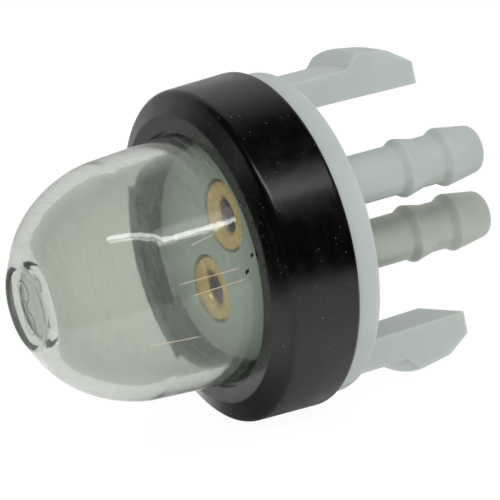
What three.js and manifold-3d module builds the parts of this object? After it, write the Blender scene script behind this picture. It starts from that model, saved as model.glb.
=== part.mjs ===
// Primer bulb for a small engine, of the kind that snaps into a panel.
//
// A clear hollow bulb is clamped by its flange between a moulded base and a thin
// metal ring. The base carries two barbed nipples for fuel hose, of two lengths,
// and two snap legs that hook behind the panel. Inside the base each nipple has a
// rubber duckbill valve, held in its counterbore by a flanged brass ferrule.
//
// Millimetres, +Z up. The axis of the part is Y: the bulb points to -Y, nipples
// and legs to +Y. The origin is the centre of the face that seats on the panel.

import * as THREE from 'three';
import { mergeVertices } from 'three/addons/utils/BufferGeometryUtils.js';
import Module from 'manifold-3d';

const wasm = await Module();
wasm.setup();

// Retaining ring
const ringOuterRadius = 14.5;
const ringWall = 0.7;
const ringLength = 7.15;
const ringDraft = 0.22;
const ringBevelWidth = 1.9;
const ringBevelDepth = 0.9;
const ringCornerRadius = 0.45;
const ringRearRadius = 0.35;
const ringFaceWidth = 3.55;
const ringCurl = 0.6;

// Base
const flangeSetback = 0.6;
const flangeThickness = 2.15;
const flangeEdge = 0.15;
const plugChamfer = 0.4;
const ringClearance = 0.12;
const seatClearance = 0.05;

// Bulb
const bulbWall = 1.3;
const bulbHoleClearance = 0.25;
const bulbFlangeThickness = 1.6;
const bulbFlangeGap = 0.7;
const bulbSideLength = 6.9;
const bulbSideTaper = 0.53;
const domeHeight = 8.95;
const domeShoulder = 0.75;
const domeCrown = 1.28;
const tipDiscRadius = 3.75;
const tipDiscStep = 0.2;
const sealBeadWidth = 1.0;
const sealBeadHeight = 0.6;

// Nipples
const nippleOffsetX = 2.5;
const nippleOffsetZ = 3.2;
const nippleRadius = 2.15;
const nippleRootFillet = 0.5;
const nippleBore = 1.1;
const barbCrest = 2.57;
const barbRise = 0.72;
const barbTaper = 1.78;
const barbPitch = 4.1;
const tipTaper = 2.84;
const tipRadius = 2.0;
const tipRound = 0.7;
const shortNipple = 17.6;
const longNipple = 20.0;

// Snap legs
const legSetback = 0.8;
const legThickness = 2.9;
const legWidth = 7.6;
const legRoot = 1.0;
const hookHeight = 1.1;
const hookStart = 6.5;
const hookRamp = 1.15;
const hookLand = 1.9;
const leadLength = 3.0;
const leadDrop = 1.75;

// Ferrules
const ferruleFlangeRadius = 3.0;
const ferruleFlangeThickness = 0.5;
const ferruleRadius = 1.95;
const ferruleLength = 3.1;
const ferruleBore = 1.35;
const ferruleMouth = 0.4;
const ferruleClearance = 0.05;

// Duckbill valves
const valveFlangeThickness = 0.7;
const valveBodyRadius = 1.1;
const valveBodyLength = 0.8;
const valveWall = 0.4;
const billLength = 1.4;
const billTipHalfThickness = 0.25;
const billSlitHalfWidth = 0.06;
const outletRoom = 0.6;

// Facets round a full turn
const largeTurn = 64;
const smallTurn = 28;

// Places along Y that follow from the sizes
const ringRear = -flangeThickness - seatClearance;
const ringFront = ringRear - ringLength;
const ringCorner = ringFront + ringBevelDepth;
const bulbFlangeFront = ringFront + ringWall + seatClearance;
const bulbFlangeRear = bulbFlangeFront + bulbFlangeThickness;
const baseFront = bulbFlangeRear + seatClearance;
const bulbShoulder = ringFront - bulbSideLength;
const bulbTip = bulbShoulder - domeHeight;
const ferruleRear = baseFront - seatClearance + ferruleLength;
const valveFront = ferruleRear + seatClearance;
const counterboreFloor = valveFront + valveFlangeThickness + seatClearance;

// Radii that follow from the sizes
const ringInnerRadius = ringOuterRadius - ringWall;
const ringHoleRadius = ringOuterRadius - ringFaceWidth;
const curlRadius = ringInnerRadius - ringCurl;
const plugRadius = ringInnerRadius - ringDraft - ringClearance;
const flangeRadius = ringOuterRadius - flangeSetback;
const bulbFlangeRadius = ringInnerRadius - bulbFlangeGap;
const bulbRootRadius = ringHoleRadius - bulbHoleClearance;
const bulbShoulderRadius = bulbRootRadius - bulbSideTaper;
const sealBeadRadius = (bulbFlangeRadius + bulbRootRadius) / 2;
const legRadius = flangeRadius - legSetback;
const legInnerFace = legRadius - legThickness;
const hookRadius = legRadius + hookHeight;
const counterboreRadius = ferruleRadius + ferruleClearance;
const valveFlangeRadius = counterboreRadius - seatClearance;

const at = (radius, y) => new THREE.Vector2(radius, y);

// The points of a round at corner b, on the way from a to c.
function rounded(a, b, c, radius, steps = 3) {
  const toA = a.clone().sub(b).normalize();
  const toC = c.clone().sub(b).normalize();
  const halfAngle = Math.acos(toA.dot(toC)) / 2;
  const back = radius / Math.tan(halfAngle);
  const start = b.clone().addScaledVector(toA, back);
  const end = b.clone().addScaledVector(toC, back);
  return new THREE.QuadraticBezierCurve(start, b, end).getPoints(steps);
}

// An outline moved sideways by a distance, to the right of the way it runs.
function offsetOutline(points, distance) {
  return points.map((p, i) => {
    const into = p.clone().sub(points[i - 1] ?? p).normalize();
    const out = (points[i + 1] ?? p).clone().sub(p).normalize();
    const along = into.clone().add(out).normalize();
    const reach = distance / along.dot(into.lengthSq() ? into : out);
    return at(p.x + along.y * reach, p.y - along.x * reach);
  });
}

// A closed geometry as a solid that can be joined and cut.
function solid(geometry) {
  const samePoint = 1e-5;
  geometry.deleteAttribute('normal');
  geometry.deleteAttribute('uv');
  const merged = mergeVertices(geometry, samePoint);
  const corners = [];
  for (let i = 0; i < merged.index.count; i += 3) {
    const [a, b, c] = [0, 1, 2].map((k) => merged.index.getX(i + k));
    if (a !== b && b !== c && c !== a) corners.push(a, b, c);
  }
  return new wasm.Manifold(new wasm.Mesh({
    numProp: 3,
    vertProperties: new Float32Array(merged.attributes.position.array),
    triVerts: new Uint32Array(corners),
  }));
}

// A solid turned round Y from an outline that starts and ends on the axis, or is
// a closed loop. Its points run anticlockwise when radius is to the right and Y up.
function turned(outline, segments = smallTurn) {
  const open = outline[0].x === 0;
  const profile = open ? outline : [...outline, outline[0].clone()];
  return solid(new THREE.LatheGeometry(profile, segments));
}

// A straight block between two corners.
function block(low, high) {
  const [x, y, z] = high.map((value, i) => value - low[i]);
  const geometry = new THREE.BoxGeometry(x, y, z);
  geometry.translate(low[0] + x / 2, low[1] + y / 2, low[2] + z / 2);
  return solid(geometry);
}

// A prism whose outline lies in Y and Z and which is centred on the YZ plane.
function prism(outline, width) {
  const shape = new THREE.Shape(outline.map(([y, z]) => new THREE.Vector2(z, y)));
  const geometry = new THREE.ExtrudeGeometry(shape, { depth: width, bevelEnabled: false });
  geometry.translate(0, 0, -width / 2);
  geometry.rotateY(-Math.PI / 2);
  return solid(geometry);
}

// A named mesh of a solid.
function piece(name, body, look) {
  const mesh = body.getMesh();
  const geometry = new THREE.BufferGeometry();
  geometry.setAttribute('position', new THREE.BufferAttribute(mesh.vertProperties, 3));
  geometry.setIndex(new THREE.BufferAttribute(mesh.triVerts, 1));
  geometry.computeVertexNormals();
  const named = new THREE.Mesh(geometry, new THREE.MeshStandardMaterial(look));
  named.name = name;
  return named;
}

// The ring: a pressed cup of even wall with a bevelled mouth, its rear edge
// curled inwards behind the base's plug.
function retainingRing() {
  const rear = at(ringOuterRadius, ringRear);
  const corner = at(ringOuterRadius - ringDraft, ringCorner);
  const shelf = at(corner.x - ringBevelWidth, ringFront);
  const mouth = at(ringHoleRadius, ringFront);
  const curlRear = at(curlRadius, ringRear);
  const curlFront = at(curlRadius, ringRear - ringWall);
  const inside = offsetOutline([rear, corner, shelf, mouth], ringWall);
  inside[0].y = curlFront.y;
  return turned([
    curlRear,
    curlFront,
    ...inside,
    mouth,
    shelf,
    ...rounded(shelf, corner, rear, ringCornerRadius),
    ...rounded(corner, rear, curlRear, ringRearRadius),
  ], largeTurn);
}

// The outside of the bulb from its flange to its tip. The dome is a superellipse.
function bulbOutline() {
  const steps = 12;
  const points = [at(bulbRootRadius, bulbFlangeFront)];
  for (let i = 0; i < steps; i += 1) {
    const turn = (i / steps) * (Math.PI / 2);
    const radius = bulbShoulderRadius * Math.cos(turn) ** domeShoulder;
    points.push(at(radius, bulbShoulder - domeHeight * Math.sin(turn) ** domeCrown));
  }
  return points;
}

// The half-round section of the seal bead, seen from the bulb's flange, or of the
// groove that takes it, which is larger by a clearance.
function sealBead(face, clearance) {
  const steps = 4;
  const half = sealBeadWidth / 2 + clearance;
  return Array.from({ length: steps + 1 }, (_, i) => {
    const turn = (i / steps) * Math.PI;
    const y = face + (sealBeadHeight + clearance) * Math.sin(turn);
    return at(sealBeadRadius + half * Math.cos(turn), y);
  });
}

// The bulb: a hollow dome with a flat disc at its tip, and a clamping flange that
// is chamfered to the ring's bevel and has a seal bead on its rear face.
function bulb() {
  const outside = bulbOutline();
  const inside = offsetOutline([...outside, at(0, bulbTip)], bulbWall);
  inside[0].y = bulbFlangeRear;
  inside[inside.length - 1] = at(0, bulbTip + bulbWall);
  const side = outside.filter((p) => p.x > tipDiscRadius + tipDiscStep);
  const chamferStart = ringHoleRadius + ringWall;
  const chamferDepth = (bulbFlangeRadius - chamferStart) * (ringBevelDepth / ringBevelWidth);
  return turned([
    at(0, bulbTip),
    at(tipDiscRadius, bulbTip),
    at(tipDiscRadius + tipDiscStep, bulbTip + tipDiscStep),
    ...side.reverse(),
    at(chamferStart, bulbFlangeFront),
    at(bulbFlangeRadius, bulbFlangeFront + chamferDepth),
    at(bulbFlangeRadius, bulbFlangeRear),
    ...sealBead(bulbFlangeRear, 0),
    ...inside,
  ], largeTurn);
}

// The round body of the base: a plug inside the ring, a groove for the ring's
// curled edge, and the flange that seats on the panel.
function baseBody() {
  const grooveRadius = curlRadius - ringClearance;
  const grooveFront = ringRear - ringWall - seatClearance;
  return turned([
    at(0, baseFront),
    ...sealBead(baseFront, ringClearance).reverse(),
    at(plugRadius - plugChamfer, baseFront),
    at(plugRadius, baseFront + plugChamfer),
    at(plugRadius, grooveFront),
    at(grooveRadius, grooveFront),
    at(grooveRadius, -flangeThickness),
    at(flangeRadius - flangeEdge, -flangeThickness),
    at(flangeRadius, -flangeThickness + flangeEdge),
    at(flangeRadius, -flangeEdge),
    at(flangeRadius - flangeEdge, 0),
    at(0, 0),
  ], largeTurn);
}

// A nipple with two barbs, steep towards the base so that a hose stays on. The
// last barb tapers to a round tip.
function nipple(length) {
  const lastCrest = length - tipTaper - tipRound;
  const firstCrest = lastCrest - barbPitch;
  const tip = rounded(at(tipRadius, length - tipRound), at(tipRadius, length), at(0, length), tipRound);
  return turned([
    at(0, -flangeThickness / 2),
    at(nippleRadius + nippleRootFillet, -flangeThickness / 2),
    at(nippleRadius + nippleRootFillet, 0),
    at(nippleRadius, nippleRootFillet),
    at(nippleRadius, firstCrest - barbRise),
    at(barbCrest, firstCrest),
    at(nippleRadius, firstCrest + barbTaper),
    at(nippleRadius, lastCrest - barbRise),
    at(barbCrest, lastCrest),
    at(tipRadius, length - tipRound),
    ...tip.slice(1),
    at(0, length),
  ]);
}

// What is cut out for one nipple: its bore right through, and the counterbore for
// the ferrule and valve.
function passage(length) {
  const boreStart = counterboreFloor + billLength + valveBodyLength + outletRoom;
  const past = 1;
  return turned([
    at(0, baseFront - past),
    at(counterboreRadius, baseFront - past),
    at(counterboreRadius, counterboreFloor),
    at(ferruleBore, counterboreFloor),
    at(ferruleBore, boreStart),
    at(nippleBore, boreStart + ferruleBore - nippleBore),
    at(nippleBore, length + past),
    at(0, length + past),
  ]);
}

// A snap leg at +Z: flat inside, round outside, with a hook that has a round ramp,
// a land and a slanted lead.
function snapLeg() {
  const start = at(legRadius, hookStart);
  const brow = at(hookRadius, hookStart + hookRamp * 0.5);
  const land = at(hookRadius, hookStart + hookRamp + hookLand);
  const end = at(hookRadius - leadDrop, land.y + leadLength);
  const outside = turned([
    at(0, -legRoot),
    at(legRadius, -legRoot),
    start,
    ...rounded(start, brow, land, hookRamp / 2),
    land,
    end,
    at(0, end.y),
  ], largeTurn);
  const reach = hookRadius + 1;
  return outside.intersect(block(
    [-legWidth / 2, -legRoot, legInnerFace],
    [legWidth / 2, end.y, reach],
  ));
}

// The base, moulded in one.
function base() {
  const leg = snapLeg();
  const short = [nippleOffsetX, 0, nippleOffsetZ];
  const long = [-nippleOffsetX, 0, -nippleOffsetZ];
  return baseBody()
    .add(leg)
    .add(leg.rotate([0, 180, 0]))
    .add(nipple(shortNipple).translate(short))
    .add(nipple(longNipple).translate(long))
    .subtract(passage(shortNipple).translate(short))
    .subtract(passage(longNipple).translate(long));
}

// A flanged brass ferrule, its mouth dished, with a straight bore.
function ferrule() {
  const face = baseFront - seatClearance;
  const front = face - ferruleFlangeThickness;
  const edge = ferruleFlangeThickness / 2;
  return turned([
    at(ferruleBore, ferruleRear),
    at(ferruleBore, front + ferruleMouth),
    at(ferruleBore + ferruleMouth, front),
    at(ferruleFlangeRadius - edge, front),
    at(ferruleFlangeRadius, front + edge),
    at(ferruleFlangeRadius, face),
    at(ferruleRadius, face),
    at(ferruleRadius, ferruleRear),
  ]);
}

// A duckbill valve that opens towards -Y: a flange, a short tube, and a bill whose
// two lips close to a slit. It is placed with the flange's rear face at Y 0.
function duckbill() {
  const bodyFront = -valveFlangeThickness - valveBodyLength;
  const tip = bodyFront - billLength;
  const boreRadius = valveBodyRadius - valveWall;
  const past = 0.5;
  const rubber = turned([
    at(0, tip),
    at(valveBodyRadius, tip),
    at(valveBodyRadius, -valveFlangeThickness),
    at(valveFlangeRadius, -valveFlangeThickness),
    at(valveFlangeRadius, 0),
    at(0, 0),
  ]);
  const lips = prism([
    [tip, -billTipHalfThickness],
    [tip, billTipHalfThickness],
    [bodyFront, valveBodyRadius],
    [0, valveFlangeRadius],
    [0, -valveFlangeRadius],
    [bodyFront, -valveBodyRadius],
  ], 2 * valveFlangeRadius);
  const inside = turned([
    at(0, tip - past),
    at(boreRadius, tip - past),
    at(boreRadius, past),
    at(0, past),
  ]);
  const slit = prism([
    [tip - past, -billSlitHalfWidth],
    [tip - past, billSlitHalfWidth],
    [tip, billSlitHalfWidth],
    [bodyFront, boreRadius],
    [past, boreRadius],
    [past, -boreRadius],
    [bodyFront, -boreRadius],
    [tip, -billSlitHalfWidth],
  ], 2 * boreRadius);
  return rubber.intersect(lips).subtract(inside.intersect(slit));
}

const nylon = { color: 0xb9c2bc, roughness: 0.45, metalness: 0 };
const blackMetal = { color: 0x0c0c0d, roughness: 0.35, metalness: 0.5 };
const clearBulb = { color: 0xb2bab0, roughness: 0.15, metalness: 0, transparent: true, opacity: 0.4 };
const brass = { color: 0xb8924a, roughness: 0.3, metalness: 1 };
const rubber = { color: 0x26262a, roughness: 0.8, metalness: 0 };

const inlet = [nippleOffsetX, 0, nippleOffsetZ];
const outlet = [-nippleOffsetX, 0, -nippleOffsetZ];
const valveRear = valveFront + valveFlangeThickness;
const inletValve = duckbill().translate([0, valveRear, 0]);
const outletValve = duckbill().rotate([180, 0, 0]).translate([0, valveFront, 0]);

const primerBulb = new THREE.Group();
primerBulb.add(
  piece('base', base(), nylon),
  piece('retaining_ring', retainingRing(), blackMetal),
  piece('bulb', bulb(), clearBulb),
  piece('inlet_ferrule', ferrule().translate(inlet), brass),
  piece('outlet_ferrule', ferrule().translate(outlet), brass),
  piece('inlet_valve', inletValve.translate(inlet), rubber),
  piece('outlet_valve', outletValve.translate(outlet), rubber),
);

export default primerBulb;
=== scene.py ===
"""Looks of a snap-in primer bulb for a small engine, built round its packed CAD frame.

Metres, +Z up. The axis of the part is Y: the bulb points to -Y, the hose nipples and
snap legs to +Y. Each piece is turned or cut in the CAD's own place, so nothing is fitted.
"""

import math

import bmesh
import bpy
from bpy.props import FloatProperty, FloatVectorProperty, PointerProperty
from bpy.types import Operator, Panel, PropertyGroup
from mathutils import Matrix, Vector


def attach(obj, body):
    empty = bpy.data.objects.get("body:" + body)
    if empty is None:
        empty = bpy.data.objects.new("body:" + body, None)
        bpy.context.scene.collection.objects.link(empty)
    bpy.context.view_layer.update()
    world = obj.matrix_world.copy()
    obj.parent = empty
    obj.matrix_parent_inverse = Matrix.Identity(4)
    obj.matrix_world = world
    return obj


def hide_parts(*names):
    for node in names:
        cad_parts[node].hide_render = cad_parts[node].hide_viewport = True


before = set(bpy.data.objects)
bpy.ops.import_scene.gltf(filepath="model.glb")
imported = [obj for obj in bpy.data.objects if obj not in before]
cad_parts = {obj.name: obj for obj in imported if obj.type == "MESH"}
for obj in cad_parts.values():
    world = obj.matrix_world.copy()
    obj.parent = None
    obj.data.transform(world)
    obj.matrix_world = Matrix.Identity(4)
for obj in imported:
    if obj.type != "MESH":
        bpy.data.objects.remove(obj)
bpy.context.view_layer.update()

bl_info = {
    "name": "Primer bulb",
    "version": (1, 0, 0),
    "blender": (4, 5, 0),
    "location": "3D View > Sidebar > Primer bulb",
    "description": "Builds a snap-in primer bulb with its ring, base, ferrules and studio",
    "category": "Object",
}

MM = 0.001
AXIS = Vector((0.0, 1.0, 0.0))
CENTRE = (0.0, 0.0, 0.0)
WHITE = (1.0, 1.0, 1.0, 1.0)
LARGE_TURN = 192
SMALL_TURN = 96
DOME_STEPS = 48
# Shares of a corner's room that its round takes
STEM_SHARE = 0.99
MOUTH_SHARE = 0.98
# How near the axis a leg's blank starts, as a share of its inner face's distance
CORE_SHARE = 0.6
COATING_IOR = 1.5
CLEAR_IOR = 1.49

# Scratches along the bulb's outer face, with a painted warm highlight, in millimetres:
# start and end along Y, height, its rise on the way, and the X that only the outer
# face goes beyond
SCRATCHES_AND_GLINTS = (
    (-16.7, -10.2, -0.1, 0.0, 9.7),
    (-15.8, -9.8, -1.3, 0.25, 9.7),
    (-19.8, -14.2, -4.4, -0.4, 7.8),
    (-14.6, -11.8, 2.6, 0.5, 9.5),
)
HAIRLINE = 0.06
# Black specks on the bulb's root at the ring's mouth, in millimetres: place along Y,
# height and width
ROOT_SPECKS = ((-9.5, 0.55, 0.2), (-9.05, -0.65, 0.16), (-10.2, -0.65, 0.24))
ROOT_SPECKS_BEYOND = 9.9
# The mould's marks lie on the bulb's tip, beyond this place along Y in millimetres
TIP_MARKS = -24.9

# The lamps: name, where each starts and ends as azimuth and elevation in degrees,
# distance and height in metres, and the brightness of its face
LAMPS = (
    ("Tube", (45.0, 46.0), (111.0, 29.5), 0.35, 0.022, 11.5),
    ("Softbox", (96.0, 36.0), (126.0, 33.0), 0.45, 0.11, 1.5),
    ("Fill", (-32.0, 19.0), (-20.0, 15.0), 0.8, 0.18, 0.6),
)


def offset(description, millimetres, **limits):
    """A place in metres, given in millimetres, of either sign."""
    return FloatProperty(
        description=description, default=millimetres * MM, unit="LENGTH",
        subtype="DISTANCE", precision=5, **limits,
    )


def length(description, millimetres):
    """A size in metres, given in millimetres."""
    return offset(description, millimetres, min=0.0)


def degrees(description, value):
    """An angle, given in degrees."""
    return FloatProperty(
        description=description, default=math.radians(value), unit="ROTATION",
        subtype="ANGLE",
    )


def share(description, value):
    """A number from 0 to 1."""
    return FloatProperty(
        description=description, default=value, min=0.0, max=1.0, subtype="FACTOR",
    )


def number(description, value):
    """A plain number."""
    return FloatProperty(description=description, default=value)


def colour(description, *rgb):
    """A linear colour."""
    return FloatVectorProperty(
        description=description, default=rgb, size=3, min=0.0, max=1.0, subtype="COLOR",
    )


class RingSizes(PropertyGroup):
    """Sizes and colour of the black retaining ring."""

    outer_radius: length("Radius of the wall at its rear edge", 14.5)
    wall: length("Thickness of the pressed shell", 0.5)
    length: length("From the rear edge to the front face", 7.15)
    draft: length("How much narrower the wall is in front", 0.22)
    bevel_width: length("Radial width of the bevelled mouth", 1.9)
    bevel_depth: length("Depth of the bevelled mouth", 0.9)
    corner_radius: length("Round between wall and bevel", 0.65)
    shelf_radius: length("Round between bevel and front face", 0.45)
    rear_radius: length("Round of the rear edge", 0.35)
    hole_radius: length("Radius of the mouth round the bulb", 10.95)
    curl: length("How far the rear edge reaches in behind the plug", 0.6)
    paint: colour("Black anodised finish", 0.002, 0.002, 0.002)
    edge: length("Round of the small edges", 0.08)
    roughness: share("Of the clean finish", 0.2)


class BulbSizes(PropertyGroup):
    """Sizes and tint of the clear bulb."""

    wall: length("Thickness of the soft wall", 1.3)
    clearance: length("Between the bulb and the ring's hole", 0.25)
    flange_thickness: length("Of the clamped flange", 1.2)
    flange_radius: length("Of the clamped flange", 13.1)
    side_length: length("Straight part in front of the ring", 6.9)
    side_taper: length("How much narrower the side is at the dome", 0.53)
    dome_height: length("From the shoulder to the tip", 8.95)
    dome_shoulder: number("Exponent of the dome's radius", 0.75)
    dome_crown: number("Exponent of the dome's rise", 1.28)
    disc_radius: length("Of the flat mould disc at the tip", 3.75)
    disc_rim: length("Width of the raised rim of the disc", 0.5)
    disc_sink: length("How deep the middle of the disc lies", 0.05)
    disc_round: length("Round of the disc's rim", 0.6)
    tint: colour("Colour that one wall gives to light", 0.665, 0.70, 0.635)
    edge_tint: colour("The same where it is seen edge on", 0.46, 0.49, 0.43)
    haze: colour("Colour of the wall's fine haze", 0.72, 0.76, 0.74)
    roughness: share("Of the clean surface", 0.03)


class BaseSizes(PropertyGroup):
    """Sizes and colour of the moulded base's round body."""

    flange_radius: length("Of the flange that seats on the panel", 13.9)
    flange_thickness: length("Of the flange", 2.15)
    seat_clearance: length("Between faces that lie on each other", 0.05)
    ring_clearance: length("Between the plug and the ring", 0.12)
    edge: length("Round of the moulded edges", 0.15)
    pocket_clearance: length("Round a ferrule in its pocket", 0.1)
    nylon: colour("Natural milky nylon", 0.51, 0.565, 0.535)
    # A darker, yellower colour for the lower nipple; what makes it so is not known
    stain: colour("Nylon yellowed by fuel", 0.47, 0.50, 0.42)
    roughness: share("Of the moulded surface", 0.36)


class NippleSizes(PropertyGroup):
    """Sizes of the two barbed hose nipples."""

    offset_x: offset("From the axis to a nipple's axis", 2.5)
    offset_z: offset("From the axis to a nipple's axis", 3.2)
    radius: length("Of the stem", 2.15)
    root_fillet: length("Where the stem meets the flange", 0.5)
    bore: length("Radius of the fuel passage", 1.1)
    root: length("How deep a nipple starts in the base", 0.25)
    crest: length("Radius of a barb's crest", 2.57)
    rise: length("Length of a barb's steep side", 0.72)
    taper: length("Length of the first barb's shallow side", 1.78)
    pitch: length("Between the two crests", 4.1)
    tip_taper: length("Length of the last barb's shallow side", 2.84)
    tip_radius: length("Of the end", 2.0)
    tip_round: length("Round of the end", 0.7)
    short: length("Length from the seat", 17.6)
    long: length("Length from the seat", 20.0)
    edge: length("Round of the barbs' edges", 0.12)


class LegSizes(PropertyGroup):
    """Sizes of the two snap legs."""

    inner_face: length("From the axis to the flat inner face", 10.2)
    draft: length("How much the inner face leans in at the tip", 0.2)
    radius: length("Of the round outer face", 13.1)
    width: length("Across a leg", 7.6)
    root: length("How deep a leg starts in the flange", 1.0)
    length: length("From the seat to the tip", 12.6)
    tip: length("Thickness of the tip", 1.9)
    hook_radius: length("Of the hook's crest", 14.25)
    hook_start: length("From the seat to the hook", 6.3)
    hook_ramp: length("Length of the hook's ramp", 1.2)
    hook_brow: length("Round between ramp and crest", 0.55)
    crest_length: length("Over which the crest falls", 3.0)
    crest_drop: length("How far the crest falls", 0.45)
    lead_slope: degrees("Of the flat slanted lead", 33.0)
    edge: length("Round of a leg's edges", 0.22)


class InsideSizes(PropertyGroup):
    """Sizes and colour of the brass ferrules."""

    flange_radius: length("Of the ferrule's flange", 3.0)
    flange_thickness: length("Of the ferrule's flange", 0.5)
    recess: length("How deep a ferrule lies in the base's front", 0.15)
    radius: length("Of the part in the counterbore", 1.95)
    length: length("Of the part in the counterbore", 3.0)
    bore: length("Radius of the bore", 1.35)
    valve_seat: length("From the ferrule to the end of the counterbore", 0.8)
    mouth: length("Width of the dished mouth", 0.75)
    edge: length("Round of the small edges", 0.06)
    brass: colour("Plain turned brass", 0.78, 0.55, 0.22)
    rubber: colour("Fuel-resistant rubber", 0.03, 0.03, 0.03)


class StageSizes(PropertyGroup):
    """Camera, lamps and floor."""

    azimuth: degrees("Of the camera round the part", 63.397)
    elevation: degrees("Of the camera", 7.342)
    roll: degrees("Of the camera round its own line of sight", 12.145)
    distance: length("From the camera to its aim", 269.388)
    aim_x: offset("Point that the camera looks at", -0.600)
    aim_y: offset("Point that the camera looks at", -3.947)
    aim_z: offset("Point that the camera looks at", -0.520)
    lens: number("Focal length in millimetres on a 36 mm sensor", 230.4)
    floor_size: length("Across the floor", 6000.0)
    floor_glow: length("Radius of the floor that gloss reflects", 42.0)
    floor_centre: offset("Place along Y of that part of the floor", -8.0)
    ambient: share("Brightness of the soft light from the camera's side", 0.76)
    ambient_back: share("Brightness of the soft light from behind", 0.45)
    backdrop: share("How bright gloss sees the backdrop", 0.6)
    dark_room: share("How bright gloss sees the room round the camera", 0.005)
    bounce: share("Light that the pale floor throws back up", 0.95)
    white: number("Strength of the floor where it is looked at", 1.06)
    lit: share("Share of that floor which shows no shadow", 0.9)
    paper: share("How pale the floor itself is", 0.86)
    glow_fade: share("Softness of the mirrored floor's rim", 0.15)
    # Painted shadow: gloss sees the floor darker round the part, from this brightness at the
    # middle up to full
    contact: share("How bright gloss sees the floor under the part", 0.15)
    painted_shadow_start: length("Reach of the darkest mirrored floor", 2.0)
    painted_shadow_end: length("Where the mirrored floor is full", 17.0)


GROUPS = {
    "bulb_ring": RingSizes,
    "bulb_shell": BulbSizes,
    "bulb_base": BaseSizes,
    "bulb_nipples": NippleSizes,
    "bulb_legs": LegSizes,
    "bulb_inside": InsideSizes,
    "bulb_stage": StageSizes,
}


def at(radius, along):
    """A point of an outline: its radius and its place along Y."""
    return Vector((radius, along, 0.0))


def rounded(before, corner, after, radius, steps=8):
    """The points of a round at a corner of an outline."""
    to_before = (before - corner).normalized()
    to_after = (after - corner).normalized()
    half = to_before.angle(to_after) / 2
    centre = corner + (to_before + to_after).normalized() * radius / math.sin(half)
    start = corner + to_before * radius / math.tan(half) - centre
    end = corner + to_after * radius / math.tan(half) - centre
    turn = start.angle(end)
    way = start.cross(end)
    return [centre + Matrix.Rotation(turn * i / steps, 3, way) @ start for i in range(steps + 1)]


def offset_outline(points, distance):
    """An outline moved sideways, to the right of the way it runs."""
    moved = []
    for i, here in enumerate(points):
        into = here - points[i - 1] if i else points[1] - here
        out = points[i + 1] - here if i + 1 < len(points) else into
        into = into.normalized()
        along = (into + out.normalized()).normalized()
        reach = distance / along.dot(into)
        moved.append(at(here.x + along.y * reach, here.y - along.x * reach))
    return moved


def new_object(name, data):
    """An object in the scene."""
    piece = bpy.data.objects.new(name, data)
    bpy.context.scene.collection.objects.link(piece)
    return piece


def finish_mesh(bm, name, shift=CENTRE):
    """A smooth object in place from a finished bmesh."""
    bmesh.ops.translate(bm, verts=bm.verts, vec=Vector(shift))
    mesh = bpy.data.meshes.new(name)
    bm.to_mesh(mesh)
    bm.free()
    mesh.shade_smooth()
    return new_object(name, mesh)


def soften(bm, width, angle=math.radians(25)):
    """Rounds every edge that is sharper than an angle."""
    sharp = [e for e in bm.edges if len(e.link_faces) == 2 and e.calc_face_angle(0.0) > angle]
    bmesh.ops.bevel(
        bm, geom=sharp, offset=width, offset_type="OFFSET", affect="EDGES",
        segments=3, profile=0.5, material=-1, clamp_overlap=True,
    )


def supported(outline, closed):
    """An outline with a point near each end of its long straight stretches, so that
    their smooth shading stays flat."""
    held = 0.15 * MM
    points = []
    for here, after in zip(outline, [*outline[1:], outline[0]]):
        points.append(here)
        last = here is outline[-1] and not closed
        span = (after - here).length
        if not last and span > 3 * held:
            way = (after - here) / span
            points += [here + way * held, after - way * held]
    return points


def spin_outline(outline, steps, closed=False, angle=2 * math.pi):
    """A bmesh turned about Y from an outline."""
    bm = bmesh.new()
    verts = [bm.verts.new(p) for p in supported(outline, closed)]
    pairs = list(zip(verts, verts[1:]))
    if closed:
        pairs.append((verts[-1], verts[0]))
    edges = [bm.edges.new(pair) for pair in pairs]
    bmesh.ops.spin(
        bm, geom=verts + edges, cent=CENTRE, axis=AXIS, angle=angle,
        steps=steps, use_merge=angle >= 2 * math.pi, use_duplicate=False,
    )
    bmesh.ops.remove_doubles(bm, verts=bm.verts, dist=MM / 1000)
    bmesh.ops.recalc_face_normals(bm, faces=bm.faces)
    return bm


def bore(piece, cutters):
    """Cuts solids out of a piece for good and removes them."""
    for cutter in cutters:
        cut = piece.modifiers.new(cutter.name, "BOOLEAN")
        cut.operation = "DIFFERENCE"
        cut.solver = "EXACT"
        cut.object = cutter
    bpy.context.view_layer.update()
    whole = piece.data
    seen = piece.evaluated_get(bpy.context.evaluated_depsgraph_get())
    piece.data = bpy.data.meshes.new_from_object(seen)
    piece.modifiers.clear()
    bpy.data.meshes.remove(whole)
    for cutter in cutters:
        bpy.data.objects.remove(cutter)


def dress(piece, slot, *nodes):
    """Gives a piece its finish and its body, and hides the CAD nodes it stands for."""
    piece.modifiers.new("Even shading", "WEIGHTED_NORMAL").keep_sharp = True
    piece.data.materials.append(shared(slot))
    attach(piece, "root")
    if nodes:
        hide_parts(*nodes)


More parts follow.
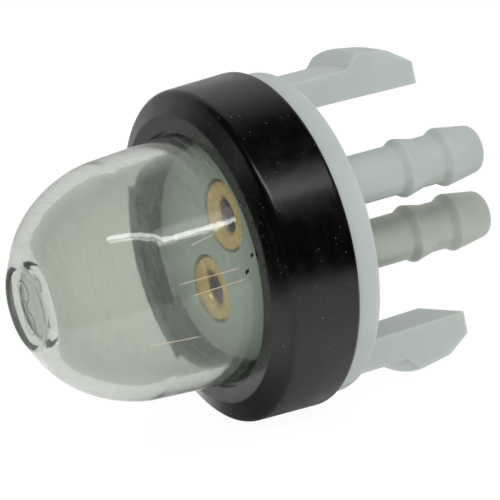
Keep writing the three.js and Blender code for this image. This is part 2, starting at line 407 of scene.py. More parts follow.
class Tree:
    """Short calls that add nodes to one node tree and join them."""

    def __init__(self, tree):
        self.tree = tree

    def add(self, kind, inputs=None, **settings):
        """A new shader node. Its inputs are values or other nodes' outputs."""
        node = self.tree.nodes.new("ShaderNode" + kind)
        for name, value in settings.items():
            setattr(node, name, value)
        for name, value in (inputs or {}).items():
            self.put(node.inputs[name], value)
        return node

    def put(self, socket, value):
        """Sets a socket to a value, or joins it to an output or a node's first one."""
        if isinstance(value, bpy.types.Node):
            value = value.outputs[0]
        if isinstance(value, bpy.types.NodeSocket):
            self.tree.links.new(value, socket)
        else:
            socket.default_value = value

    def math(self, operation, *values, clamp=False):
        """The output of a Math node."""
        return self.fill(self.add("Math", operation=operation, use_clamp=clamp), values)[0]

    def times(self, first, second):
        """The product of two values."""
        return self.math("MULTIPLY", first, second)

    def vector(self, operation, *values):
        """The outputs of a Vector Math node."""
        return self.fill(self.add("VectorMath", operation=operation), values)

    def fill(self, node, values):
        """Puts values into a node's inputs, in order, and gives its outputs."""
        for socket, value in zip(node.inputs, values):
            self.put(socket, value)
        return node.outputs

    def mix(self, factor, first, second):
        """The output of a colour mix."""
        node = self.add("Mix", data_type="RGBA")
        self.put(node.inputs["Factor"], factor)
        for name, value in (("A", first), ("B", second)):
            socket = [s for s in node.inputs if s.name == name and s.type == "RGBA"][0]
            self.put(socket, value)
        return [s for s in node.outputs if s.type == "RGBA"][0]

    def ramp(self, value, low, high, to_low=0.0, to_high=1.0):
        """The output of a smooth Map Range node."""
        return self.add("MapRange", {
            "Value": value, "From Min": low, "From Max": high,
            "To Min": to_low, "To Max": to_high,
        }, interpolation_type="SMOOTHSTEP").outputs[0]

    def axes(self, vector):
        """The X, Y and Z of a vector."""
        return self.add("SeparateXYZ", {"Vector": vector}).outputs

    def blend(self, factor, first, second):
        """A Mix Shader node between two shader nodes."""
        node = self.add("MixShader")
        self.fill(node, (factor, first, second))
        return node


def millimetres(tree):
    """The Object coordinates in millimetres."""
    place = tree.add("TexCoord").outputs["Object"]
    scale = tree.add("Mapping", {"Vector": place, "Scale": (1 / MM,) * 3})
    return scale.outputs["Vector"]


def new_group(name, inputs, outputs):
    """An empty node group with one vector input and named number sockets: its tree,
    what it is given and what it puts out."""
    group = bpy.data.node_groups.new(name, "ShaderNodeTree")
    group.interface.new_socket("Vector", in_out="INPUT", socket_type="NodeSocketVector")
    for way, names in (("INPUT", inputs), ("OUTPUT", outputs)):
        for socket in names:
            group.interface.new_socket(socket, in_out=way, socket_type="NodeSocketFloat")
    ends = [group.nodes.new(kind) for kind in ("NodeGroupInput", "NodeGroupOutput")]
    return Tree(group), ends[0].outputs, ends[1].inputs


def fill_grain(tree, given, out):
    """Fine moulded or painted grain: a height and a slow mottle, both about 0 to 1."""
    fine = tree.add("TexNoise", {
        "Vector": given["Vector"], "Scale": given["Scale"], "Detail": 4.0, "Roughness": 0.6,
    })
    slow = tree.add("TexNoise", {
        "Vector": given["Vector"], "Scale": given["Mottle scale"], "Detail": 3.0,
    })
    darkest, palest = 0.35, 0.65
    tree.put(out["Height"], fine)
    tree.put(out["Mottle"], tree.ramp(slow, darkest, palest))


def fill_specks(tree, given, out):
    """Small round specks of dust or dirt, sparse and of several sizes."""
    cells = tree.add("TexVoronoi", {
        "Vector": given["Vector"], "Scale": given["Scale"], "Randomness": 1.0,
    })
    pick = tree.add("SeparateColor", {"Color": cells.outputs["Color"]})
    size = tree.times(given["Size"], pick.outputs[1])
    half = tree.times(size, 0.5)
    spot = tree.ramp(cells.outputs["Distance"], half, size, 1.0, 0.0)
    chosen = tree.math("LESS_THAN", pick.outputs[0], given["Share"])
    tree.put(out["Mask"], tree.times(spot, chosen))


def fill_hairline(tree, given, out):
    """One straight hairline along Y where X is beyond a limit: from Start to End, at
    Height, which grows by Rise on the way. It fades towards both ends."""
    full, gone = 0.3, 0.5
    axes = tree.axes(given["Vector"])
    span = tree.math("SUBTRACT", given["End"], given["Start"])
    way = tree.math("DIVIDE", tree.math("SUBTRACT", axes["Y"], given["Start"]), span)
    height = tree.math("MULTIPLY_ADD", given["Rise"], way, given["Height"])
    aside = tree.math("ABSOLUTE", tree.math("SUBTRACT", axes["Z"], height))
    line = tree.ramp(tree.math("DIVIDE", aside, given["Width"]), 0.5, 1.0, 1.0, 0.0)
    middle = tree.math("ABSOLUTE", tree.math("SUBTRACT", way, 0.5))
    window = tree.ramp(middle, full, gone, 1.0, 0.0)
    outer = tree.math("GREATER_THAN", axes["X"], given["Beyond"])
    tree.put(out["Mask"], tree.times(tree.times(line, window), outer))


def fill_rubbing(tree, given, out):
    """Very fine lines that run round the Y axis, in soft patches, as from wiping."""
    stretch = tree.add("Mapping", {"Vector": given["Vector"], "Scale": (0.05, 1.0, 0.05)})
    lines = tree.add("TexNoise", {
        "Vector": stretch, "Scale": given["Scale"], "Detail": 3.0, "Roughness": 0.7,
    })
    patches = tree.add("TexNoise", {"Vector": given["Vector"], "Scale": 0.22, "Detail": 3.0})
    least = 0.35
    fine = tree.ramp(lines, 0.45, 0.7)
    where = tree.ramp(patches, 0.35, 0.65, least, 1.0)
    tree.put(out["Mask"], tree.times(fine, where))


def fill_gate(tree, given, out):
    """The plain marks of the mould at the bulb's tip: two round pin marks and the scar
    of the gate between them."""
    line, scar_width, scar_end = (0.05, 0.16), (0.12, 0.24), (-0.9, -0.7)
    axes = tree.axes(given["Vector"])
    side = tree.math("SUBTRACT", tree.math("ABSOLUTE", axes["Z"]), given["Spread"])
    flat = tree.add("CombineXYZ", {"X": axes["X"], "Z": side})
    reach = tree.vector("LENGTH", flat)["Value"]
    off = tree.math("SUBTRACT", reach, given["Radius"])
    ring = tree.ramp(tree.math("ABSOLUTE", off), *line, 1.0, 0.0)
    across = tree.ramp(tree.math("ABSOLUTE", axes["X"]), *scar_width, 1.0, 0.0)
    along = tree.ramp(side, *scar_end, 1.0, 0.0)
    tree.put(out["Mask"], tree.math("MAXIMUM", ring, tree.times(across, along)))


# What fills each node group, its number inputs and its outputs
NODE_GROUPS = {
    "Grain": (fill_grain, ("Scale", "Mottle scale"), ("Height", "Mottle")),
    "Specks": (fill_specks, ("Scale", "Size", "Share"), ("Mask",)),
    "Hairline": (
        fill_hairline, ("Start", "End", "Height", "Rise", "Beyond", "Width"), ("Mask",),
    ),
    "Rubbing": (fill_rubbing, ("Scale",), ("Mask",)),
    "Gate marks": (fill_gate, ("Spread", "Radius"), ("Mask",)),
}


def use(tree, name, vector, **values):
    """A node group, made on first use and placed in a tree with its own values."""
    if name not in bpy.data.node_groups:
        fill, inputs, outputs = NODE_GROUPS[name]
        fill(*new_group(name, inputs, outputs))
    node = tree.add("Group", node_tree=bpy.data.node_groups[name])
    tree.put(node.inputs["Vector"], vector)
    for key, value in values.items():
        tree.put(node.inputs[key.replace("_", " ").capitalize()], value)
    return node.outputs


def new_material(name):
    """An empty material: itself, its tree and its output's surface socket."""
    material = bpy.data.materials.new(name)
    material.use_nodes = True
    material.node_tree.nodes.clear()
    tree = Tree(material.node_tree)
    return material, tree, tree.add("OutputMaterial").inputs["Surface"]


def bump(tree, height, millimetres_deep):
    """The normal of a Bump node, which is as deep as said where the height is 1."""
    return tree.add("Bump", {"Height": height, "Distance": millimetres_deep * MM})


def uneven(tree, grain, low, spread):
    """A roughness that varies with the slow mottle."""
    return tree.ramp(grain["Mottle"], 0.0, 1.0, low, low + spread)


def opaque(rgb):
    """A colour with full alpha."""
    return (*rgb, 1.0)


def ring_material(tree, place, sizes):
    """Black anodised metal: satin, with specks of dust and fine wear."""
    worn = (0.2, 0.2, 0.19)
    fine_share, rubbed_share, dusty = 0.35, 0.02, 0.3
    grain = use(tree, "Grain", place, scale=9.0, mottle_scale=0.5)
    dust = use(tree, "Specks", place, scale=1.6, size=0.14, share=0.4)["Mask"]
    fine = use(tree, "Specks", place, scale=3.2, size=0.26, share=0.3)["Mask"]
    rubbed = use(tree, "Rubbing", place, scale=5.0)["Mask"]
    marks = tree.math("MAXIMUM", dust, tree.times(fine, fine_share))
    wear = tree.math("MULTIPLY_ADD", rubbed, rubbed_share, marks, clamp=True)
    rough = uneven(tree, grain, sizes.roughness, 0.08)
    return tree.add("BsdfPrincipled", {
        "Base Color": tree.mix(wear, opaque(sizes.paint), opaque(worn)),
        "Roughness": tree.math("MULTIPLY_ADD", marks, dusty, rough, clamp=True),
        "IOR": COATING_IOR,
        "Normal": bump(tree, grain["Height"], 0.006),
    })


def hairlines(tree, place, lines):
    """The mask of several hairlines, each with its own values."""
    keys = ("start", "end", "height", "rise", "beyond", "width")
    mask = 0.0
    for values in lines:
        line = use(tree, "Hairline", place, **dict(zip(keys, values)))
        mask = tree.math("MAXIMUM", mask, line["Mask"])
    return mask


def bulb_material(tree, place, sizes):
    """Clear soft plastic with a grey-green tint, hazed and lightly scratched. The scratches
    carry a painted warm highlight, and black specks sit at the bulb's root.
    """
    # The first colour is a painted warm highlight for the scratches; the second is the black of
    # the specks at the bulb's root
    scratch_glint, speck_black, shade = (0.97, 0.74, 0.56), (0.01, 0.01, 0.01), (0.93, 0.95, 0.92)
    gate_relief, scratched, hazy = 6.0, 0.3, 0.3
    veil_share, rubbed_share, scratch_glint_share = 0.035, 0.15, 0.4
    grain = use(tree, "Grain", place, scale=1.4, mottle_scale=0.3)
    rubbed = use(tree, "Rubbing", place, scale=9.0)["Mask"]
    gate = use(tree, "Gate marks", place, spread=1.3, radius=0.85)["Mask"]
    axes = tree.axes(place)
    gate = tree.times(gate, tree.math("LESS_THAN", axes["Y"], TIP_MARKS))
    # Scratch mask: rougher, and given a painted warm highlight in the veil below
    marks = hairlines(tree, place, [(*line, HAIRLINE) for line in SCRATCHES_AND_GLINTS])
    # Black specks on the bulb's root, by the ring's mouth
    root_specks = hairlines(tree, place, [
        (along - width, along + width, height, width, ROOT_SPECKS_BEYOND, width)
        for along, height, width in ROOT_SPECKS
    ])
    edge = tree.add("LayerWeight", {"Blend": 0.35}).outputs["Facing"]
    relief = tree.math("MULTIPLY_ADD", gate, gate_relief, grain["Height"])
    clear = tree.add("BsdfPrincipled", {
        "Base Color": tree.mix(edge, opaque(sizes.tint), opaque(sizes.edge_tint)),
        "Roughness": tree.math("MULTIPLY_ADD", marks, scratched, sizes.roughness),
        "IOR": CLEAR_IOR,
        "Transmission Weight": 1.0,
        "Specular IOR Level": 0.34,
        "Normal": bump(tree, relief, 0.006),
    })
    # Painted highlight: on the scratches the veil turns a pale warm colour that stands in for
    # warm light caught in them
    haze = tree.mix(marks, opaque(sizes.haze), opaque(scratch_glint))
    veil = tree.add("BsdfPrincipled", {
        "Base Color": tree.mix(root_specks, haze, opaque(speck_black)), "Roughness": hazy,
    })
    covered = tree.math("MULTIPLY_ADD", rubbed, rubbed_share, veil_share)
    covered = tree.math("MULTIPLY_ADD", marks, scratch_glint_share, covered)
    covered = tree.math("MAXIMUM", covered, root_specks, clamp=True)
    hazed = tree.blend(covered, clear, veil)
    through = tree.add("BsdfTransparent", {"Color": opaque(shade)})
    path = tree.add("LightPath").outputs
    return tree.blend(path["Is Shadow Ray"], hazed, through)


def nylon_material(tree, place, sizes):
    """Milky nylon, slightly mottled, and darker and yellower on the lower nipple."""
    cloudy, stem_height = (0.72, 0.76, 0.75), 3.2
    # Reaches from the lower nipple's axis: its darker, yellower colour is full within the first
    # and gone beyond the second
    tinted_reach, clean, least_tint, cloud_share = 2.7, 3.4, 0.7, 0.12
    grain = use(tree, "Grain", place, scale=6.0, mottle_scale=0.22)
    axes = tree.axes(place)
    stem = tree.math("ABSOLUTE", tree.math("ADD", axes["Z"], stem_height))
    behind = tree.ramp(axes["Y"], 0.0, 1.0)
    low = tree.times(tree.ramp(stem, tinted_reach, clean, 1.0, 0.0), behind)
    lower_tint = tree.ramp(grain["Mottle"], 0.0, 1.0, least_tint, 1.0)
    lower_tint = tree.times(low, lower_tint)
    nylon = tree.mix(lower_tint, opaque(sizes.nylon), opaque(sizes.stain))
    cloud = tree.times(grain["Mottle"], cloud_share)
    return tree.add("BsdfPrincipled", {
        "Base Color": tree.mix(cloud, nylon, opaque(cloudy)),
        "Roughness": uneven(tree, grain, sizes.roughness, 0.1),
        "IOR": COATING_IOR,
        "Subsurface Weight": 0.5,
        "Subsurface Radius": (1.0, 1.0, 0.9),
        "Subsurface Scale": 1.2 * MM,
        "Normal": bump(tree, grain["Height"], 0.008),
    })


def brass_material(tree, place, sizes):
    """Turned brass, slightly dulled."""
    dull, dull_share = (0.5, 0.33, 0.13), 0.35
    grain = use(tree, "Grain", place, scale=8.0, mottle_scale=0.8)
    dulled = tree.times(grain["Mottle"], dull_share)
    return tree.add("BsdfPrincipled", {
        "Base Color": tree.mix(dulled, opaque(sizes.brass), opaque(dull)),
        "Metallic": 1.0,
        "Roughness": uneven(tree, grain, 0.24, 0.12),
        "Normal": bump(tree, grain["Height"], 0.004),
    })


def rubber_material(tree, place, sizes):
    """Black rubber, matt."""
    pale = (0.05, 0.05, 0.052)
    grain = use(tree, "Grain", place, scale=7.0, mottle_scale=0.6)
    return tree.add("BsdfPrincipled", {
        "Base Color": tree.mix(grain["Mottle"], opaque(sizes.rubber), opaque(pale)),
        "Roughness": tree.ramp(grain["Height"], 0.3, 0.7, 0.6, 0.8),
        "Normal": bump(tree, grain["Height"], 0.01),
    })


# The material of each slot: its name, what fills it and the group with its sizes
MATERIALS = {
    "ring_metal": ("Black anodised ring", ring_material, "bulb_ring"),
    "bulb_clear": ("Clear bulb", bulb_material, "bulb_shell"),
    "base_nylon": ("Milky nylon", nylon_material, "bulb_base"),
    "ferrule_brass": ("Turned brass", brass_material, "bulb_inside"),
    "valve_rubber": ("Black rubber", rubber_material, "bulb_inside"),
}


def shared(slot):
    """The material of a slot, made on first use."""
    name, fill, sizes = MATERIALS[slot]
    if name not in bpy.data.materials:
        _, tree, surface = new_material(name)
        tree.put(surface, fill(tree, millimetres(tree), getattr(bpy.context.scene, sizes)))
    return bpy.data.materials[name]


class Places:
    """Places along Y, and radii, that follow from the sizes, as in the CAD."""

    def __init__(self, scene):
        ring, bulb, base = scene.bulb_ring, scene.bulb_shell, scene.bulb_base
        gap = base.seat_clearance
        self.ring_rear = -base.flange_thickness - gap
        self.ring_front = self.ring_rear - ring.length
        self.ring_corner = self.ring_front + ring.bevel_depth
        self.bulb_flange_front = self.ring_front + ring.wall + gap
        self.bulb_flange_rear = self.bulb_flange_front + bulb.flange_thickness
        self.base_front = self.bulb_flange_rear + gap
        self.bulb_shoulder = self.ring_front - bulb.side_length
        self.bulb_tip = self.bulb_shoulder - bulb.dome_height
        self.ring_inner_radius = ring.outer_radius - ring.wall
        self.curl_radius = self.ring_inner_radius - ring.curl
        corner = at(ring.outer_radius - ring.draft, self.ring_corner)
        self.ring_corners = [
            at(ring.outer_radius, self.ring_rear),
            corner,
            at(corner.x - ring.bevel_width, self.ring_front),
            at(ring.hole_radius, self.ring_front),
        ]
        self.plug_radius = self.ring_inner_radius - ring.draft - base.ring_clearance
        self.bulb_root_radius = ring.hole_radius - bulb.clearance
        self.bulb_shoulder_radius = self.bulb_root_radius - bulb.side_taper
        inside = scene.bulb_inside
        self.ferrule_front = self.base_front + inside.recess
        self.ferrule_face = self.ferrule_front + inside.flange_thickness
        self.ferrule_rear = self.ferrule_face + inside.length


class PRIMER_OT_ring(Operator):
    """Builds the black retaining ring"""

    bl_idname = "primer.ring"
    bl_label = "Retaining ring"

    def execute(self, context):
        ring = context.scene.bulb_ring
        places = Places(context.scene)
        rear, corner, shelf, mouth = places.ring_corners
        curl_rear = at(places.curl_radius, places.ring_rear)
        curl_front = at(places.curl_radius, places.ring_rear - ring.wall)
        inside = offset_outline(places.ring_corners, ring.wall)
        inside[0].y = curl_front.y
        inside[-1].x = mouth.x
        bm = spin_outline([
            curl_rear,
            curl_front,
            *inside,
            mouth,
            *rounded(mouth, shelf, corner, ring.shelf_radius),
            *rounded(shelf, corner, rear, ring.corner_radius),
            *rounded(corner, rear, curl_rear, ring.rear_radius),
        ], LARGE_TURN, closed=True)
        soften(bm, ring.edge, math.radians(40))
        dress(finish_mesh(bm, "ring_shell"), "ring_metal", "retaining_ring")
        return {"FINISHED"}


class PRIMER_OT_bulb(Operator):
    """Builds the clear bulb as one shell with real walls"""

    bl_idname = "primer.bulb"
    bl_label = "Clear bulb"

    def outline(self, bulb, places):
        """The outside from the flange to the tip disc. The dome is a superellipse."""
        points = [at(places.bulb_root_radius, places.bulb_flange_front)]
        for i in range(DOME_STEPS):
            turn = (i / DOME_STEPS) * (math.pi / 2)
            radius = places.bulb_shoulder_radius * math.cos(turn) ** bulb.dome_shoulder
            rise = bulb.dome_height * math.sin(turn) ** bulb.dome_crown
            point = at(radius, places.bulb_shoulder - rise)
            while len(points) > 1 and self.dips(*points[-2:], point):
                points.pop()
            points.append(point)
        return points

    def dips(self, before, middle, after):
        """Whether the outline would be hollow at its middle point."""
        return (middle - before).cross(after - middle).z > 0

    def disc(self, bulb, tip, side):
        """The mould disc at the tip, from its sunk middle over its rim to the dome."""
        sunk = tip.y + bulb.disc_sink
        inner = bulb.disc_radius - bulb.disc_rim
        rim = at(bulb.disc_radius, tip.y)
        return [
            at(0.0, sunk),
            at(inner - bulb.disc_sink, sunk),
            at(inner, tip.y),
            *rounded(at(inner, tip.y), rim, side, bulb.disc_round),
        ]

    def execute(self, context):
        bulb, ring = context.scene.bulb_shell, context.scene.bulb_ring
        places = Places(context.scene)
        outside = self.outline(bulb, places)
        tip = at(0.0, places.bulb_tip)
        inside = offset_outline([*outside, tip], bulb.wall)
        inside[0].y = places.bulb_flange_rear
        inside[-1] = at(0.0, places.bulb_tip + bulb.wall)
        side = [p for p in outside if p.x > bulb.disc_radius]
        while self.dips(*side[-2:], at(bulb.disc_radius, tip.y)):
            side.pop()
        shelf = ring.wall + context.scene.bulb_base.seat_clearance
        chamfer_start = offset_outline(places.ring_corners, shelf)[2].x
        chamfer_depth = (bulb.flange_radius - chamfer_start) * ring.bevel_depth / ring.bevel_width
        bm = spin_outline([
            *self.disc(bulb, tip, side[-1]),
            *reversed(side),
            at(chamfer_start, places.bulb_flange_front),
            at(bulb.flange_radius, places.bulb_flange_front + chamfer_depth),
            at(bulb.flange_radius, places.bulb_flange_rear),
            *[p for p in inside if p.x >= 0.0],
        ], LARGE_TURN)
        dress(finish_mesh(bm, "bulb_shell"), "bulb_clear", "bulb")
        return {"FINISHED"}


class PRIMER_OT_base(Operator):
    """Builds the round body of the moulded base"""

    bl_idname = "primer.base"
    bl_label = "Base body"

    def passage(self, scene, places, name, side):
        """What is cut out for one nipple: a pocket for the ferrule's flange, the
        counterbore for ferrule and valve, and the bore."""
        base, inside, nipples = scene.bulb_base, scene.bulb_inside, scene.bulb_nipples
        pocket = inside.flange_radius + base.pocket_clearance
        counterbore = inside.radius + base.seat_clearance
        face = places.ferrule_face + base.seat_clearance
        floor = places.ferrule_rear + inside.valve_seat
        rear = -nipples.root
        past = MM
        bm = spin_outline([
            at(0.0, places.base_front - past),
            at(pocket + base.edge, places.base_front - past),
            at(pocket + base.edge, places.base_front),
            at(pocket, places.base_front + base.edge),
            at(pocket, face),
            at(counterbore, face),
            at(counterbore, floor),
            at(inside.bore, floor),
            at(inside.bore, rear),
            at(nipples.bore, rear),
            at(nipples.bore, past),
            at(0.0, past),
        ], SMALL_TURN)
        shift = (side * nipples.offset_x, 0.0, side * nipples.offset_z)
        return finish_mesh(bm, name, shift)

    def execute(self, context):
        base, ring = context.scene.bulb_base, context.scene.bulb_ring
        places = Places(context.scene)
        groove_radius = places.curl_radius - base.ring_clearance
        groove_front = places.ring_rear - ring.wall - base.seat_clearance
        bm = spin_outline([
            at(0.0, places.base_front),
            at(places.plug_radius, places.base_front),
            at(places.plug_radius, groove_front),
            at(groove_radius, groove_front),
            at(groove_radius, -base.flange_thickness),
            at(base.flange_radius, -base.flange_thickness),
            at(base.flange_radius, 0.0),
            at(0.0, 0.0),
        ], LARGE_TURN)
        soften(bm, base.edge)
        piece = finish_mesh(bm, "base_body")
        bore(piece, [
            self.passage(context.scene, places, name, side)
            for name, side in (("inlet_passage", 1), ("outlet_passage", -1))
        ])
        dress(piece, "base_nylon", "base")
        return {"FINISHED"}


class PRIMER_OT_nipples(Operator):
    """Builds the two barbed hose nipples with their bores"""

    bl_idname = "primer.nipples"
    bl_label = "Hose nipples"

    def nipple(self, sizes, length, depth):
        """One nipple on the Y axis, open through its bore."""
        last_crest = length - sizes.tip_taper - sizes.tip_round
        first_crest = last_crest - sizes.pitch
        foot = at(sizes.radius + sizes.root_fillet, 0.0)
        stem = at(sizes.radius, sizes.root_fillet)
        end = at(sizes.tip_radius, length)
        fillet = sizes.root_fillet * STEM_SHARE
        return spin_outline([
            at(sizes.bore, -depth),
            at(foot.x, -depth),
            foot,
            *rounded(foot, at(sizes.radius, 0.0), stem, fillet)[1:-1],
            stem,
            at(sizes.radius, first_crest - sizes.rise),
            at(sizes.crest, first_crest),
            at(sizes.radius, first_crest + sizes.taper),
            at(sizes.radius, last_crest - sizes.rise),
            at(sizes.crest, last_crest),
            *rounded(at(sizes.crest, last_crest), end, at(sizes.bore, length), sizes.tip_round),
            at(sizes.bore, length),
        ], SMALL_TURN, closed=True)

    def execute(self, context):
        sizes = context.scene.bulb_nipples
        pair = (("short_nipple", sizes.short, 1), ("long_nipple", sizes.long, -1))
        for name, reach, side in pair:
            bm = self.nipple(sizes, reach, sizes.root)
            soften(bm, sizes.edge, math.radians(12))
            shift = (side * sizes.offset_x, 0.0, side * sizes.offset_z)
            dress(finish_mesh(bm, name, shift), "base_nylon")
        return {"FINISHED"}


class PRIMER_OT_legs(Operator):
    """Builds the two snap legs"""

    bl_idname = "primer.legs"
    bl_label = "Snap legs"

    def leg(self, sizes):
        """The upper leg: a turned outline cut to its sides, inner face and lead."""
        core = sizes.inner_face * CORE_SHARE
        start = at(sizes.radius, sizes.hook_start)
        brow = at(sizes.hook_radius, sizes.hook_start + sizes.hook_ramp)
        back = at(sizes.hook_radius - sizes.crest_drop, brow.y + sizes.crest_length)
        outline = [
            at(core, -sizes.root),
            at(sizes.radius, -sizes.root),
            start,
            *rounded(start, brow, back, sizes.hook_brow),
            back,
            at(back.x, sizes.length),
            at(core, sizes.length),
        ]
        sweep = math.radians(90)
        bm = spin_outline(outline, LARGE_TURN // 4, closed=True, angle=sweep)
        turn = Matrix.Rotation(-math.pi / 2 - sweep / 2, 3, "Y")
        bmesh.ops.rotate(bm, verts=bm.verts, cent=CENTRE, matrix=turn)
        half = sizes.width / 2
        tip_face = sizes.inner_face - sizes.draft
        slope = sizes.lead_slope
        for place, normal in (
            ((half, 0.0, 0.0), (1.0, 0.0, 0.0)),
            ((-half, 0.0, 0.0), (-1.0, 0.0, 0.0)),
            ((0.0, sizes.length, tip_face), (0.0, -sizes.draft, -sizes.length - sizes.root)),
            ((0.0, sizes.length, tip_face + sizes.tip), (0.0, math.sin(slope), math.cos(slope))),
        ):
            cut = bmesh.ops.bisect_plane(
                bm, geom=bm.verts[:] + bm.edges[:] + bm.faces[:], dist=MM / 1e4,
                plane_co=place, plane_no=Vector(normal).normalized(), clear_outer=True,
            )
            rim = [g for g in cut["geom_cut"] if isinstance(g, bmesh.types.BMEdge)]
            bmesh.ops.contextual_create(bm, geom=rim)
        bmesh.ops.recalc_face_normals(bm, faces=bm.faces)
        return bm

    def execute(self, context):
        sizes = context.scene.bulb_legs
        for name, turn in (("upper_leg", 0.0), ("lower_leg", math.pi)):
            bm = self.leg(sizes)
            soften(bm, sizes.edge)
            rotation = Matrix.Rotation(turn, 3, "Y")
            bmesh.ops.rotate(bm, verts=bm.verts, cent=CENTRE, matrix=rotation)
            dress(finish_mesh(bm, name), "base_nylon")
        return {"FINISHED"}


class PRIMER_OT_ferrules(Operator):
    """Builds the two brass ferrules and finishes the rubber valves"""

    bl_idname = "primer.ferrules"
    bl_label = "Ferrules and valves"

    def execute(self, context):
        sizes, nipples = context.scene.bulb_inside, context.scene.bulb_nipples
        places = Places(context.scene)
        front, face, rear = places.ferrule_front, places.ferrule_face, places.ferrule_rear
        chamfer = sizes.flange_thickness / 2
        mouth_start = at(sizes.bore, front + sizes.mouth)
        mouth_end = at(sizes.bore + sizes.mouth, front)
        mouth_round = sizes.mouth * MOUTH_SHARE
        outline = [
            at(sizes.bore, rear),
            mouth_start,
            *rounded(mouth_start, at(sizes.bore, front), mouth_end, mouth_round),
            mouth_end,
            at(sizes.flange_radius - chamfer, front),
            at(sizes.flange_radius, front + chamfer),
            at(sizes.flange_radius, face),
            at(sizes.radius, face),
            at(sizes.radius, rear),
        ]
        for name, node, side in (
            ("inlet_brass", "inlet_ferrule", 1), ("outlet_brass", "outlet_ferrule", -1),
        ):
            bm = spin_outline(outline, SMALL_TURN, closed=True)
            soften(bm, sizes.edge)
            shift = (side * nipples.offset_x, 0.0, side * nipples.offset_z)
            dress(finish_mesh(bm, name, shift), "ferrule_brass", node)
        for node in ("inlet_valve", "outlet_valve"):
            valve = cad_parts[node]
            valve.data.materials.clear()
            valve.data.materials.append(shared("valve_rubber"))
        return {"FINISHED"}


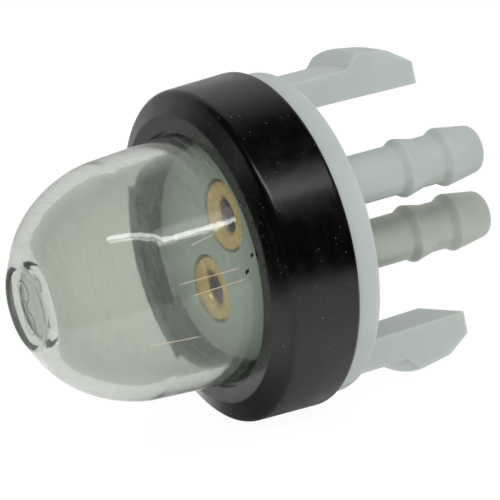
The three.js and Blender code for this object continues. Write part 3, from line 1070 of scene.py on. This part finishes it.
class PRIMER_OT_stage(Operator):
    """Sets up the floor, the soft studio light and the camera"""

    bl_idname = "primer.stage"
    bl_label = "Studio"

    def direction(self, azimuth, elevation):
        """A unit direction away from the part: azimuth 0 is -Y, 90 degrees is +X."""
        flat = math.cos(elevation)
        return Vector((
            flat * math.sin(azimuth), -flat * math.cos(azimuth), math.sin(elevation),
        ))

    def camera(self, sizes):
        """A camera at the photograph's angle, rolled as the photograph is."""
        data = bpy.data.cameras.new("Camera")
        data.lens = sizes.lens
        data.sensor_width = 36.0
        data.clip_start = 0.01
        camera = new_object("Camera", data)
        away = self.direction(sizes.azimuth, sizes.elevation)
        aim = Vector((sizes.aim_x, sizes.aim_y, sizes.aim_z))
        upright = away.to_track_quat("Z", "Y").to_matrix().to_4x4()
        roll = Matrix.Rotation(-sizes.roll, 4, "Z")
        place = Matrix.Translation(aim + away * sizes.distance)
        camera.matrix_world = place @ upright @ roll
        bpy.context.scene.camera = camera

    def lamp(self, name, start, end, distance, height, brightness):
        """A soft rectangular lamp that spans from one direction to another, given as
        azimuth and elevation in degrees, by the brightness of its face."""
        first, last = (self.direction(*map(math.radians, way)) for way in (start, end))
        away = (first + last).normalized()
        along = (last - first).normalized()
        width = 2 * distance * math.tan(first.angle(last) / 2)
        data = bpy.data.lights.new(name, "AREA")
        data.shape = "RECTANGLE"
        data.size = width
        data.size_y = height
        data.energy = math.pi * width * height * brightness
        facing = Matrix((along, away.cross(along), away)).transposed().to_4x4()
        place = Matrix.Translation(away * distance)
        new_object(name, data).matrix_world = place @ facing

    def looks(self, tree, path):
        """Masks of the rays that see the white backdrop, from the camera, through glass
        or inside it, and of those that gloss mirrors."""
        inside = tree.math("GREATER_THAN", path["Transmission Depth"], 0.5)
        gloss = path["Is Glossy Ray"]
        within = tree.times(gloss, inside)
        direct = tree.math("SUBTRACT", gloss, within)
        seen = tree.math("MAXIMUM", path["Is Camera Ray"], path["Is Transmission Ray"])
        return tree.math("MAXIMUM", seen, within), direct

    def facing(self, tree, sizes, way, span, behind, before):
        """A value that goes from behind the part to before it, on the camera's side."""
        camera = tuple(self.direction(sizes.azimuth, 0.0))
        facing = tree.vector("DOT_PRODUCT", way, camera)["Value"]
        return tree.ramp(facing, *span, behind, before)

    def room(self, tree, sizes, way):
        """How bright gloss sees the room: pale behind the part, dark round the camera."""
        return self.facing(tree, sizes, way, (-0.6, -0.1), sizes.backdrop, sizes.dark_room)

    def world(self, sizes):
        """White where the camera and glass look, with a dark room round the camera that
        only gloss mirrors."""
        world = bpy.data.worlds.new("Studio")
        world.use_nodes = True
        world.node_tree.nodes.clear()
        tree = Tree(world.node_tree)
        path = tree.add("LightPath").outputs
        way = tree.add("TexCoord").outputs["Generated"]
        room = self.room(tree, sizes, way)
        straight, gloss = self.looks(tree, path)
        seen = tree.math("MAXIMUM", straight, tree.times(gloss, room))
        looked = tree.math("MAXIMUM", straight, gloss)
        ambient = self.facing(tree, sizes, way, (-1.0, 1.0), sizes.ambient_back, sizes.ambient)
        soft = tree.times(tree.math("SUBTRACT", 1.0, looked), ambient)
        glow = {"Color": WHITE, "Strength": tree.math("ADD", seen, soft)}
        tree.add("OutputWorld", {"Surface": tree.add("Background", glow)})
        bpy.context.scene.world = world

    def floor(self, sizes, height):
        """A pale floor that the camera sees as white, with the part's faint shadow. Gloss sees
        it with a painted shadow round the part.
        """
        bm = bmesh.new()
        bmesh.ops.create_grid(bm, x_segments=1, y_segments=1, size=sizes.floor_size / 2)
        floor = finish_mesh(bm, "floor", (0.0, 0.0, height))
        material, tree, surface = new_material("Pale floor")
        place = tree.add("TexCoord").outputs["Object"]
        flat = tree.add("Mapping", {
            "Vector": place, "Location": (0.0, -sizes.floor_centre, -height),
        })
        reach = tree.vector("LENGTH", flat)["Value"]
        rim = [sizes.floor_glow * (1 + side * sizes.glow_fade) for side in (-1, 1)]
        near = tree.ramp(reach, *rim, 1.0, 0.0)
        # Painted shadow round the part, which gloss sees on the floor
        clear = tree.ramp(reach, sizes.painted_shadow_start, sizes.painted_shadow_end, sizes.contact, 1.0)
        path = tree.add("LightPath").outputs
        straight, gloss = self.looks(tree, path)
        room = self.room(tree, sizes, tree.vector("NORMALIZE", flat)["Vector"])
        beyond = tree.times(room, tree.math("SUBTRACT", 1.0, near))
        mirrored = tree.math("MULTIPLY_ADD", near, clear, beyond)
        bounced = tree.times(path["Is Diffuse Ray"], sizes.bounce)
        looked = tree.times(straight, sizes.white)
        strength = tree.math("MULTIPLY_ADD", gloss, mirrored, looked)
        strength = tree.math("ADD", strength, bounced)
        paper = tree.add("BsdfDiffuse", {"Color": opaque([sizes.paper] * 3)})
        glow = tree.add("Emission", {"Color": WHITE, "Strength": strength})
        lit = tree.math("MAXIMUM", tree.times(straight, sizes.lit), gloss)
        lit = tree.math("MAXIMUM", lit, path["Is Diffuse Ray"])
        tree.put(surface, tree.blend(lit, paper, glow))
        floor.data.materials.append(material)

    def execute(self, context):
        sizes = context.scene.bulb_stage
        self.camera(sizes)
        self.world(sizes)
        self.floor(sizes, -context.scene.bulb_ring.outer_radius)
        for values in LAMPS:
            self.lamp(*values)
        context.scene.view_settings.view_transform = "Standard"
        return {"FINISHED"}


OPERATORS = (
    PRIMER_OT_stage, PRIMER_OT_ring, PRIMER_OT_bulb, PRIMER_OT_base, PRIMER_OT_nipples,
    PRIMER_OT_legs, PRIMER_OT_ferrules,
)


class PRIMER_PT_panel(Panel):
    """Lists the steps that build the primer bulb"""

    bl_label = "Primer bulb"
    bl_idname = "PRIMER_PT_panel"
    bl_space_type = "VIEW_3D"
    bl_region_type = "UI"
    bl_category = "Primer bulb"

    def draw(self, context):
        for operator in OPERATORS:
            self.layout.operator(operator.bl_idname)
        for name, group in GROUPS.items():
            box = self.layout.box()
            box.label(text=group.__doc__)
            for field in group.__annotations__:
                label = field.replace("_", " ").capitalize()
                box.prop(getattr(context.scene, name), field, text=label)


def register():
    """Registers the size groups, the operators and the panel."""
    for name, group in GROUPS.items():
        bpy.utils.register_class(group)
        setattr(bpy.types.Scene, name, PointerProperty(type=group))
    for cls in (*OPERATORS, PRIMER_PT_panel):
        bpy.utils.register_class(cls)


def unregister():
    """Removes what register added."""
    for cls in (PRIMER_PT_panel, *reversed(OPERATORS)):
        bpy.utils.unregister_class(cls)
    for name, group in reversed(GROUPS.items()):
        delattr(bpy.types.Scene, name)
        bpy.utils.unregister_class(group)


def main():
    """Builds everything in order."""
    register()
    for operator in OPERATORS:
        getattr(bpy.ops.primer, operator.bl_idname.split(".")[1])()
    bpy.context.view_layer.update()


if __name__ == "__main__":
    main()
